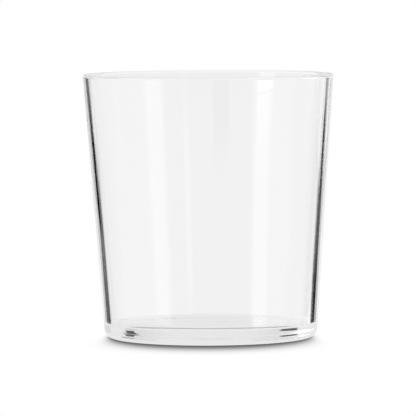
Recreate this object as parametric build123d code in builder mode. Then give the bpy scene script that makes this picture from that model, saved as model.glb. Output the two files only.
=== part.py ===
# A straight-sided cortado glass: one piece of clear glass, turned about the Z axis.
# Millimetres, +Z up. The origin is the centre of the foot, on the surface that the glass stands on.
import os
from math import atan2, cos, hypot, pi, sin, tan

from build123d import *

# Driving dimensions
rim_diameter = 70.0         # outside, the wall's line carried up to the top of the rim
base_diameter = 59.2        # outside, the wall's line carried down to the table
height = 73.6               # table to the top of the rim
rim_wall = 1.5              # level thickness of the glass at the rim, which is rounded right over
lower_wall = 1.95           # level thickness of the wall where it meets the inside floor
wall_belly = 0.3            # how much thicker the wall is halfway up than its two ends make it
floor_height = 4.1          # table to the inside floor, beside the wall
floor_dish = 0.9            # how far the middle of the inside floor lies below its edge
corner_radius = 0.45        # round between the wall and the inside floor
heel_radius = 2.55          # round between the outside wall and the foot
foot_width = 6.0            # level ring that the glass stands on
push_up = 0.8               # hollow under the middle of the base

# Knurl: short grooves in the standing ring
knurl_count = 60
knurl_width = 1.3           # across one groove
knurl_depth = 0.25          # up from the table
knurl_margin = 1.8          # plain edge of the ring, inside and outside the grooves

# Lines that the section follows
rim_radius = rim_diameter / 2
base_radius = base_diameter / 2
outer_lean = atan2(rim_radius - base_radius, height)
floor_radius = base_radius + floor_height * tan(outer_lean) - lower_wall
floor_middle = floor_height - floor_dish
mouth_radius = rim_radius - rim_wall
inner_chord = hypot(mouth_radius - floor_radius, height - floor_height)
chord_lean = atan2(mouth_radius - floor_radius, height - floor_height)
inner_lean = chord_lean + 4 * wall_belly / inner_chord    # of the bowed inner wall, at the mouth

# The rim is the one circle that touches the outer wall, the inner wall and the level of the top
outer_reach = 1 / tan(pi / 4 - outer_lean / 2)
inner_reach = 1 / tan(pi / 4 + inner_lean / 2)
rim_round = rim_wall / (outer_reach + inner_reach)
outer_drop = rim_round * outer_reach
inner_drop = rim_round * inner_reach
rim_outer_end = (rim_radius - outer_drop * sin(outer_lean), height - outer_drop * cos(outer_lean))
rim_top = (rim_radius - outer_drop, height)
rim_inner_end = (mouth_radius - inner_drop * sin(inner_lean), height - inner_drop * cos(inner_lean))

# The standing ring starts where the heel's round comes down to the table
foot_outer_radius = base_radius - heel_radius * tan(pi / 4 - outer_lean / 2)
foot_inner_radius = foot_outer_radius - foot_width

# One groove is cut by a round bar that lies along the ring's radius, mostly below the table
knurl_bar_radius = knurl_depth / 2 + knurl_width**2 / (8 * knurl_depth)
knurl_bar_level = knurl_depth - knurl_bar_radius
knurl_bar_length = foot_width - 2 * knurl_margin
knurl_radius = foot_outer_radius - foot_width / 2

with BuildPart() as tumbler:
    with BuildSketch(Plane.XZ):
        with BuildLine():
            Line((0, floor_middle), (0, push_up))
            Bezier((0, push_up), (foot_inner_radius / 2, push_up), (foot_inner_radius, 0))
            Line((foot_inner_radius, 0), (base_radius, 0))
            Line((base_radius, 0), rim_outer_end)
            ThreePointArc(rim_outer_end, rim_top, rim_inner_end)
            SagittaArc(rim_inner_end, (floor_radius, floor_height), -wall_belly)
            Bezier((floor_radius, floor_height), (floor_radius / 2, floor_middle), (0, floor_middle))
        make_face()
    revolve(axis=Axis.Z)
    rings = tumbler.edges().filter_by(GeomType.CIRCLE)
    heel = rings.sort_by_distance((base_radius, 0, 0))[0]
    fillet(heel, heel_radius)
    rings = tumbler.edges().filter_by(GeomType.CIRCLE)
    corner = rings.sort_by_distance((floor_radius, 0, floor_height))[0]
    fillet(corner, corner_radius)
    with Locations((0, 0, knurl_bar_level)):
        with PolarLocations(knurl_radius, knurl_count, start_angle=180 / knurl_count):
            Cylinder(knurl_bar_radius, knurl_bar_length, rotation=(0, 90, 0), mode=Mode.SUBTRACT)
tumbler.part.label = "tumbler"

os.makedirs("parts", exist_ok=True)
export_step(tumbler.part, "parts/tumbler.step")
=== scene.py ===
from math import atan2, cos, pi, radians, sin, tan

import bpy
import numpy as np
from mathutils import Matrix, Vector


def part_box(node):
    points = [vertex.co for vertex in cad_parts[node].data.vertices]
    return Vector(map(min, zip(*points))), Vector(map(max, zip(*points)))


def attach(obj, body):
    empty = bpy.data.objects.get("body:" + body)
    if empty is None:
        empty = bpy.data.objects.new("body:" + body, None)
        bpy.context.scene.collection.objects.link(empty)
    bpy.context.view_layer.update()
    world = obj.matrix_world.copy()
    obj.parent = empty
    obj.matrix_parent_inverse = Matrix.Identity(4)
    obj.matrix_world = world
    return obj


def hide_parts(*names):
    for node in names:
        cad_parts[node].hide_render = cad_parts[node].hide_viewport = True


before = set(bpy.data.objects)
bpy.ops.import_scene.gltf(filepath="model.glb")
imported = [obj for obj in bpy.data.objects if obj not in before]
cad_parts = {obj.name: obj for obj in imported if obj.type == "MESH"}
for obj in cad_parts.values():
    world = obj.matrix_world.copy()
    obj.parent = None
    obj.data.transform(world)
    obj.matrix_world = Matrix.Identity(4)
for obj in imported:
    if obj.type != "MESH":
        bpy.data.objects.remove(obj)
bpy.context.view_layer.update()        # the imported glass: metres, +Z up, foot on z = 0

scene = bpy.context.scene
scene.view_settings.view_transform = "Standard"

# thick glass passes light on through many inner reflections
bounceLimit = 256
scene.cycles.max_bounces = bounceLimit
scene.cycles.glossy_bounces = bounceLimit
scene.cycles.transmission_bounces = bounceLimit


# Small helpers for shader trees

plainWhite = (1, 1, 1, 1)


def addNode(tree, kind, inputs=None, **settings):
    # one node, its plain settings, and a number, a colour or a link for each input
    node = tree.nodes.new(kind)
    for name, value in settings.items():
        setattr(node, name, value)
    for socket, value in (inputs or {}).items():
        if isinstance(value, bpy.types.NodeSocket):
            tree.links.new(value, node.inputs[socket])
        else:
            node.inputs[socket].default_value = value
    return node


def calc(tree, operation, *values):
    # one Math node and its result
    return addNode(tree, "ShaderNodeMath", dict(enumerate(values)), operation=operation).outputs[0]


def ramp(tree, value, start, end, low=0.0, high=1.0):
    # smooth step from low to high while value goes from start to end
    places = {"Value": value, "From Min": start, "From Max": end, "To Min": low, "To Max": high}
    return addNode(tree, "ShaderNodeMapRange", places, interpolation_type="SMOOTHSTEP").outputs[0]


def mix(tree, factor, first, second):
    # plain blend of two numbers
    return addNode(tree, "ShaderNodeMix", {"Factor": factor, "A": first, "B": second}).outputs[0]


# The glass

tumbler = {
    "rimDiameter": 0.0700,       # outside, wall line carried up to the top
    "baseDiameter": 0.0592,      # outside, wall line carried down to the table
    "rimWall": 0.0015,           # level thickness at the rim
    "lowerWall": 0.00195,        # level thickness at the inside floor
    "wallBelly": 0.0003,         # how much thicker the wall is halfway up
    "lean": 0.30,                # degrees that the whole glass leans towards -X
    "coreTilt": 0.14,            # and the inside beyond that
    "coreLevel": 0.025,          # level where the inside lies true
    "floorHeight": 0.0041,       # inside floor at the wall
    "floorDish": 0.0009,         # middle of the floor below its edge
    "cornerRadius": 0.00045,     # inside, wall to floor
    "heelRadius": 0.00255,       # outside, wall to foot
    "footWidth": 0.0060,         # standing ring
    "pushUp": 0.0008,            # hollow under the middle
    "knurlCount": 60,
    "knurlWidth": 0.0013,
    "knurlDepth": 0.00025,
    "knurlMargin": 0.0018,
    "turnSteps": 480,            # points round the axis
    "rowCounts": {               # and rows along each stretch of the section
        "underside": 12,
        "ring": 14,
        "heel": 18,
        "outer": 32,
        "rim": 24,
        "inner": 48,
        "corner": 16,
        "floor": 16,
    },
    "ior": 1.52,
    "waveSize": 0.009,           # faint waves in the surface, drawn out up the wall
    "waveStretch": 0.3,
    "waveDetail": 1.0,
    "waveDepth": 0.000012,
    "hazeSize": 0.004,           # patches that are a little duller
    "hazeDetail": 3.0,
    "hazeStart": 0.45,           # noise values between which they come in
    "hazeEnd": 0.75,
    "haze": 0.03,
}
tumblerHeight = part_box("tumbler")[1].z


def linePoints(start, end, steps, belly=0.0):
    # Straight stretch, or one that bows out to the right by belly, without its last point. Its rows
    # crowd towards both ends, so that the smooth shading of the rounds stays on the rounds.
    share = (1 - np.cos(np.linspace(0, pi, steps, endpoint=False)))[:, None] / 2
    along = np.array(end) - np.array(start)
    aside = np.array([along[1], -along[0]]) / np.hypot(*along)
    return np.array(start) + along * share + aside * belly * 4 * share * (1 - share)


def arcPoints(centre, radius, startAngle, endAngle, steps):
    # evenly turned circle arc, without its last point
    angle = np.linspace(startAngle, endAngle, steps, endpoint=False)
    return np.stack([centre[0] + radius * np.cos(angle), centre[1] + radius * np.sin(angle)], 1)


def bowlPoints(edgeRadius, edgeLevel, middleLevel, radii):
    # parabola that is level at the axis
    return np.stack([radii, middleLevel + (edgeLevel - middleLevel) * (radii / edgeRadius) ** 2], 1)


def glassSection(size, height):
    # Half section as rows of radius and level: the underside's parabola, the level ring, the heel's
    # arc, the outer wall's line, the rim's arc, the inner wall's bow, the corner's arc and the
    # floor's parabola. Returns the rows, the name of the stretch that each row lies on, and the
    # inner and outer radius of the ring.
    rimRadius = size["rimDiameter"] / 2
    baseRadius = size["baseDiameter"] / 2
    outerLean = atan2(rimRadius - baseRadius, height)
    floorHeight = size["floorHeight"]
    floorMiddle = floorHeight - size["floorDish"]
    floorRadius = baseRadius + floorHeight * tan(outerLean) - size["lowerWall"]
    mouthRadius = rimRadius - size["rimWall"]
    chordLean = atan2(mouthRadius - floorRadius, height - floorHeight)
    bend = 4 * size["wallBelly"] * cos(chordLean) / (height - floorHeight)
    innerLean, lowLean = chordLean + bend, chordLean - bend
    heel = size["heelRadius"]
    footOuter = baseRadius - heel * tan(pi / 4 - outerLean / 2)
    footInner = footOuter - size["footWidth"]

    # the rim's circle touches both walls and the top
    outerReach = 1 / tan(pi / 4 - outerLean / 2)
    innerReach = 1 / tan(pi / 4 + innerLean / 2)
    rimRound = size["rimWall"] / (outerReach + innerReach)
    rimCentre = (rimRadius - rimRound * outerReach, height - rimRound)

    # the corner's circle touches the inner wall and the slope of the floor's edge
    corner = size["cornerRadius"]
    floorSlope = atan2(2 * size["floorDish"], floorRadius)
    cornerReach = corner * tan(pi / 4 - (lowLean + floorSlope) / 2)
    wallEnd = (floorRadius + cornerReach * sin(lowLean), floorHeight + cornerReach * cos(lowLean))
    cornerCentre = (wallEnd[0] - corner * cos(lowLean), wallEnd[1] + corner * sin(lowLean))
    floorEnd = cornerCentre[0] + corner * sin(floorSlope)

    heelCentre = (footOuter, heel)
    heelEnd = (footOuter + heel * cos(outerLean), heel - heel * sin(outerLean))
    rimStart = (rimCentre[0] + rimRound * cos(outerLean), rimCentre[1] - rimRound * sin(outerLean))
    rimEnd = (rimCentre[0] - rimRound * cos(innerLean), rimCentre[1] + rimRound * sin(innerLean))
    count = size["rowCounts"]
    underRadii = np.linspace(0, footInner, count["underside"], endpoint=False)
    floorRadii = np.linspace(floorEnd, 0, count["floor"])
    stretches = {
        "underside": bowlPoints(footInner, 0, size["pushUp"], underRadii),
        "ring": linePoints((footInner, 0), (footOuter, 0), count["ring"]),
        "heel": arcPoints(heelCentre, heel, -pi / 2, -outerLean, count["heel"]),
        "outer": linePoints(heelEnd, rimStart, count["outer"]),
        "rim": arcPoints(rimCentre, rimRound, -outerLean, pi - innerLean, count["rim"]),
        "inner": linePoints(rimEnd, wallEnd, count["inner"], size["wallBelly"]),
        "corner": arcPoints(cornerCentre, corner, -lowLean, floorSlope - pi / 2, count["corner"]),
        "floor": bowlPoints(floorRadius, floorHeight, floorMiddle, floorRadii),
    }
    rows = np.concatenate(list(stretches.values()))
    names = np.repeat(list(stretches), [len(part) for part in stretches.values()])
    return rows, names, footInner, footOuter


def turnedMesh(name, rows, lift, swell):
    # Surface of turning: x = (r + swell) cos u, y = (r + swell) sin u, z = level + lift, with u round
    # the axis and the rows along the section. The first and last rows are the two poles.
    turns = lift.shape[1]
    u = np.linspace(0, 2 * pi, turns, endpoint=False)
    radius = rows[1:-1, :1] + swell
    grid = [radius * np.cos(u), radius * np.sin(u), rows[1:-1, 1:] + lift]
    points = np.stack(grid, 2).reshape(-1, 3)
    poles = np.array([[0, 0, rows[0, 1]], [0, 0, rows[-1, 1]]])
    ringCount = len(rows) - 2
    here = np.arange(turns)
    after = np.roll(here, -1)
    base = (np.arange(ringCount - 1) * turns)[:, None]
    corners = [base + here, base + after, base + after + turns, base + here + turns]
    quads = np.stack(corners, 2).reshape(-1, 4)
    bottom, top = ringCount * turns, ringCount * turns + 1
    last = (ringCount - 1) * turns
    underFan = np.stack([np.full(turns, bottom), after, here], 1)
    floorFan = np.stack([np.full(turns, top), last + here, last + after], 1)
    faces = quads.tolist() + underFan.tolist() + floorFan.tolist()
    mesh = bpy.data.meshes.new(name)
    mesh.from_pydata(np.concatenate([points, poles]).tolist(), [], faces)
    mesh.polygons.foreach_set("use_smooth", np.ones(len(faces), bool))
    mesh.update()
    piece = bpy.data.objects.new(name, mesh)
    scene.collection.objects.link(piece)
    return piece


def knurlLift(size, rows, names, turns, footInner, footOuter):
    # Grooves of the standing ring: a round-bottomed cut across each pitch, run out at both edges.
    u = np.linspace(0, 2 * pi, turns, endpoint=False)
    pitch = 2 * pi / size["knurlCount"]
    r = rows[1:-1, :1]
    across = np.abs((u / pitch) % 1 - 0.5) * pitch * r
    depth = size["knurlDepth"]
    bar = depth / 2 + size["knurlWidth"] ** 2 / (8 * depth)
    groove = np.sqrt(np.clip(bar**2 - across**2, 0, None)) + depth - bar
    edge = np.minimum(r - footInner, footOuter - r) / size["knurlMargin"]
    return np.clip(groove, 0, None) * np.clip(2 * edge - 1, 0, 1) * (names[1:-1, None] == "ring")


def leanSwell(size, rows, names, turns, height):
    # The glass leans a little, and its inside a little more: swell = -shift cos u, where shift grows
    # with the level. The inside's own share fades over the rim, and both fade towards the poles.
    u = np.linspace(0, 2 * pi, turns, endpoint=False)
    level = rows[:, 1]
    inside = np.isin(names, ["inner", "corner", "floor"]).astype(float)
    onRim = names == "rim"
    inside[onRim] = np.linspace(0, 1, onRim.sum())
    shift = (level - size["coreLevel"]) * tan(radians(size["coreTilt"])) * inside
    shift += (level - height / 2) * tan(radians(size["lean"]))
    for part in ("floor", "underside"):
        shift[names == part] *= rows[names == part, 0] / rows[names == part, 0].max()
    return -shift[1:-1, None] * np.cos(u)


def buildTumbler():
    rows, names, footInner, footOuter = glassSection(tumbler, tumblerHeight)
    turns = tumbler["turnSteps"]
    lift = knurlLift(tumbler, rows, names, turns, footInner, footOuter)
    swell = leanSwell(tumbler, rows, names, turns, tumblerHeight)
    piece = turnedMesh("glassTumbler", rows, lift, swell)
    piece.data.materials.append(clearGlass())
    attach(piece, "root")
    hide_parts("tumbler")
    print("glass:", len(piece.data.polygons), "faces")
    return footOuter


def clearGlass():
    # clear and colourless, with the faint waves and duller patches of machine-made glass
    material = bpy.data.materials.new("clearGlass")
    material.use_nodes = True
    tree = material.node_tree
    place = addNode(tree, "ShaderNodeTexCoord").outputs["Object"]
    drawn = {"Vector": place, "Scale": (1, 1, tumbler["waveStretch"])}
    drawn = addNode(tree, "ShaderNodeMapping", drawn).outputs[0]
    waves = {"Vector": drawn, "Scale": 1 / tumbler["waveSize"], "Detail": tumbler["waveDetail"]}
    waves = addNode(tree, "ShaderNodeTexNoise", waves).outputs[0]
    bump = {"Height": waves, "Strength": 1.0, "Distance": tumbler["waveDepth"]}
    patches = {"Vector": place, "Scale": 1 / tumbler["hazeSize"], "Detail": tumbler["hazeDetail"]}
    patches = addNode(tree, "ShaderNodeTexNoise", patches).outputs[0]
    dullness = ramp(tree, patches, tumbler["hazeStart"], tumbler["hazeEnd"], 0.0, tumbler["haze"])
    shader = tree.nodes["Principled BSDF"]
    shader.inputs["Base Color"].default_value = plainWhite
    shader.inputs["IOR"].default_value = tumbler["ior"]
    shader.inputs["Transmission Weight"].default_value = 1.0
    tree.links.new(dullness, shader.inputs["Roughness"])
    tree.links.new(addNode(tree, "ShaderNodeBump", bump).outputs[0], shader.inputs["Normal"])
    return material


# The white table, with a painted soft shadow that reaches forward from the foot

table = {
    "radius": 0.055,
    "sides": 96,
    "drop": 0.00005,             # below the foot, so that no two faces meet
    "bounceLight": 0.84,         # as the glass sees it
    # painted shadow: how much of the table's glow is taken away near the foot
    "shadowDepth": 0.873,
    "shadowFront": 0.0147,       # how far the shadow reaches towards the camera
    "shadowSide": 0.0017,        # and to the sides and the back
}


def buildTable(footRadius):
    # flat disc: x = r cos u, y = r sin u
    u = np.linspace(0, 2 * pi, table["sides"], endpoint=False)
    r = table["radius"]
    points = np.stack([r * np.cos(u), r * np.sin(u), np.full_like(u, -table["drop"])], 1)
    mesh = bpy.data.meshes.new("whiteTable")
    mesh.from_pydata(points.tolist(), [], [list(range(len(u)))])
    piece = bpy.data.objects.new("whiteTable", mesh)
    scene.collection.objects.link(piece)
    mesh.materials.append(tableWhite(footRadius))
    print("table: radius", r)


def tableWhite(footRadius):
    # white glow, less a painted shadow of depth * exp(-((r - foot) / reach)^2), longest towards -Y
    material = bpy.data.materials.new("tableWhite")
    material.use_nodes = True
    tree = material.node_tree
    tree.nodes.clear()
    place = addNode(tree, "ShaderNodeTexCoord").outputs["Object"]
    parts = addNode(tree, "ShaderNodeSeparateXYZ", {0: place}).outputs
    squareX = calc(tree, "POWER", parts["X"], 2.0)
    squareY = calc(tree, "POWER", parts["Y"], 2.0)
    r = calc(tree, "SQRT", calc(tree, "ADD", squareX, squareY))
    facing = calc(tree, "DIVIDE", calc(tree, "MULTIPLY", parts["Y"], -1.0), r)
    forward = calc(tree, "POWER", calc(tree, "MAXIMUM", facing, 0.0), 2.0)
    extra = table["shadowFront"] - table["shadowSide"]
    reach = calc(tree, "ADD", calc(tree, "MULTIPLY", forward, extra), table["shadowSide"])
    out = calc(tree, "MAXIMUM", calc(tree, "SUBTRACT", r, footRadius), 0.0)
    fall = calc(tree, "POWER", calc(tree, "DIVIDE", out, reach), 2.0)
    fade = calc(tree, "EXPONENT", calc(tree, "MULTIPLY", fall, -1.0))
    # painted shadow, taken off the glow that the camera sees
    shade = calc(tree, "MULTIPLY", fade, table["shadowDepth"])
    byCamera = addNode(tree, "ShaderNodeLightPath").outputs["Is Camera Ray"]
    light = mix(tree, byCamera, table["bounceLight"], calc(tree, "SUBTRACT", 1.0, shade))
    glow = addNode(tree, "ShaderNodeEmission", {"Color": plainWhite, "Strength": light})
    addNode(tree, "ShaderNodeOutputMaterial", {"Surface": glow.outputs[0]})
    return material


# The studio: a white room with light and dark cards round the glass. Directions are in degrees:
# azimuth from +Y, behind the glass, towards +X, and elevation up from the horizon.

studio = {
    "lowLight": 0.91,            # the white below the horizon
    "highLight": 0.80,           # and above it
    "fadeLow": -3.7,             # elevations between which one turns into the other
    "fadeHigh": -0.75,
    "fallStart": 10.5,           # the white behind the glass falls off between these azimuths
    "fallEnd": 34,
    "fallDepth": 0.13,
    "sideStart": 40,             # and is even again past these
    "sideEnd": 45,
    "frontStart": 100,           # the light in front of it comes in between these
    "frontEnd": 160,
    "frontLow": 16,              # and ends between these elevations
    "frontHigh": 30,
    "frontLight": 0.76,
    "cards": [                   # azimuths, elevations, light and softness of the edges
        (-120, -46, 8.5, 24, 1.5, 1.5),         # fill from the left
        (64, 115, 0.5, 21, 0.6, 0.5),           # dim side on the right
        (-120, -76, -16.5, -8.5, 1.2, 3.0),     # glow beside the left softbox
        (90, 117, -14, -8.5, 1.1, 1.0),         # and beside the right one
        (-136, -117, -17, -6, 1.45, 3.0),       # left softbox, low
        (-128, -110, 5, 19.5, 2.2, 1.5),        # and high
        (118, 135, -15.5, -6.5, 1.6, 3.0),      # right softbox
        (154, 160, 3.5, 6.5, 1.2, 0.5),         # narrow strip
        (-44, -37, -6, -5, 1.9, 0.5),           # white beside the dark flags
        (38, 51, -6, -4.5, 2.1, 0.2),
        (6, 22, -11, -6.5, 1.8, 0.2),
        (-34, -15, -5, 1, 0.4, 1.0),            # dark flags on the left
        (-23, -14, -10.5, -7, 0.0, 0.2),
        (-37, -24, -7.5, -4.5, 0.0, 0.5),
        (-28, -9, -9, -6.5, 0.0, 0.2),
        (-40, -33, -8.5, -7.5, 0.2, 0.5),
        (20, 28, -4.5, -2.5, 0.0, 1.0),         # and on the right
        (31, 45, -13.5, -7, 0.2, 0.2),
        (26, 40, -7.5, -4.5, 0.0, 0.5),
        (22, 26, -8, -6, 0.0, 0.5),
        (-43, -30, 0, 7, 0.0, 1.5),             # flags that the thick base shows
        (35, 42, 2.5, 24, 0.0, 0.2),
        (41, 48, 13.5, 29.5, 0.0, 0.5),
        (153, 172, 43.5, 57, 0.3, 0.2),
        (-8, 7, 2, 3, 0.1, 0.5),
        (-130, -114, -6.5, -0.5, 0.0, 0.5),     # flags that outline the glass from other sides
        (-68, -52, -5.5, -2.5, 0.0, 0.5),
        (-85, -69, -32, -22, 0.0, 0.5),
        (-21, -12, -29, -22, 0.0, 0.5),
        (95, 111, -21, -13.5, 0.0, 0.5),
        (159, 175, -21, -13.5, 0.0, 0.5),
    ],
}


def card(tree, azimuth, elevation, left, right, low, high, edge):
    # mask that is 1 between two azimuths, the short way round, and two elevations, with soft edges
    halfTurn = 180.0
    turn = calc(tree, "SUBTRACT", azimuth, (left + right) / 2)
    turn = calc(tree, "WRAP", turn, halfTurn, -halfTurn)
    off = calc(tree, "SUBTRACT", elevation, (low + high) / 2)
    half, reach = (right - left) / 2, (high - low) / 2
    across = ramp(tree, calc(tree, "ABSOLUTE", turn), half - edge, half + edge, 1.0, 0.0)
    upright = ramp(tree, calc(tree, "ABSOLUTE", off), reach - edge, reach + edge, 1.0, 0.0)
    return calc(tree, "MULTIPLY", across, upright)


def buildStudio():
    # white that fades with elevation and azimuth, then each card over what lies before it; the camera
    # itself sees plain white behind the glass
    world = bpy.data.worlds.new("studio")
    scene.world = world
    world.use_nodes = True
    tree = world.node_tree
    tree.nodes.clear()
    direction = addNode(tree, "ShaderNodeTexCoord").outputs["Generated"]
    parts = addNode(tree, "ShaderNodeSeparateXYZ", {0: direction}).outputs
    azimuth = calc(tree, "DEGREES", calc(tree, "ARCTAN2", parts["X"], parts["Y"]))
    elevation = calc(tree, "DEGREES", calc(tree, "ARCSINE", parts["Z"]))
    aside = calc(tree, "ABSOLUTE", azimuth)
    lights = studio["lowLight"], studio["highLight"]
    white = ramp(tree, elevation, studio["fadeLow"], studio["fadeHigh"], *lights)
    fall = ramp(tree, aside, studio["fallStart"], studio["fallEnd"], 1.0, 1 - studio["fallDepth"])
    fall = ramp(tree, aside, studio["sideStart"], studio["sideEnd"], fall, 1.0)
    seen = calc(tree, "MULTIPLY", white, fall)
    front = ramp(tree, aside, studio["frontStart"], studio["frontEnd"])
    front = ramp(tree, elevation, studio["frontLow"], studio["frontHigh"], front, 0.0)
    seen = mix(tree, front, seen, studio["frontLight"])
    for left, right, low, high, light, edge in studio["cards"]:
        seen = mix(tree, card(tree, azimuth, elevation, left, right, low, high, edge), seen, light)
    byCamera = addNode(tree, "ShaderNodeLightPath").outputs["Is Camera Ray"]
    light = calc(tree, "MAXIMUM", seen, byCamera)
    glow = addNode(tree, "ShaderNodeBackground", {"Color": plainWhite, "Strength": light})
    addNode(tree, "ShaderNodeOutputWorld", {"Surface": glow.outputs[0]})
    print("studio:", len(studio["cards"]), "cards")


# The camera, as fitted to the outline in a frame of 416 by 416 pixels

camera = {
    "distance": 1.250,           # from the axis
    "height": 0.1127,            # above the table
    "focalPixels": 4483,         # focal length
    "framePixels": 416,          # width of the frame
    "sensorWidth": 36,           # mm
    "clipEnd": 10,
    "roll": 0.30,                # degrees
    "aimX": 209.52,              # pixel where the middle of the axis lies
    "aimY": 205.37,
}


def buildCamera():
    data = bpy.data.cameras.new("studioCamera")
    data.sensor_width = camera["sensorWidth"]
    data.lens = camera["focalPixels"] / camera["framePixels"] * data.sensor_width
    data.clip_end = camera["clipEnd"]
    data.shift_x = 0.5 - camera["aimX"] / camera["framePixels"]
    data.shift_y = camera["aimY"] / camera["framePixels"] - 0.5
    piece = bpy.data.objects.new("studioCamera", data)
    scene.collection.objects.link(piece)
    place = Vector((0, -camera["distance"], camera["height"]))
    aim = Vector((0, 0, tumblerHeight / 2))
    turn = (aim - place).to_track_quat("-Z", "Y").to_matrix().to_4x4()
    roll = Matrix.Rotation(radians(-camera["roll"]), 4, "Z")
    piece.matrix_world = Matrix.Translation(place) @ turn @ roll
    scene.camera = piece
    print("camera: lens", round(data.lens, 1), "mm")


footRadius = buildTumbler()
buildTable(footRadius)
buildStudio()
buildCamera()
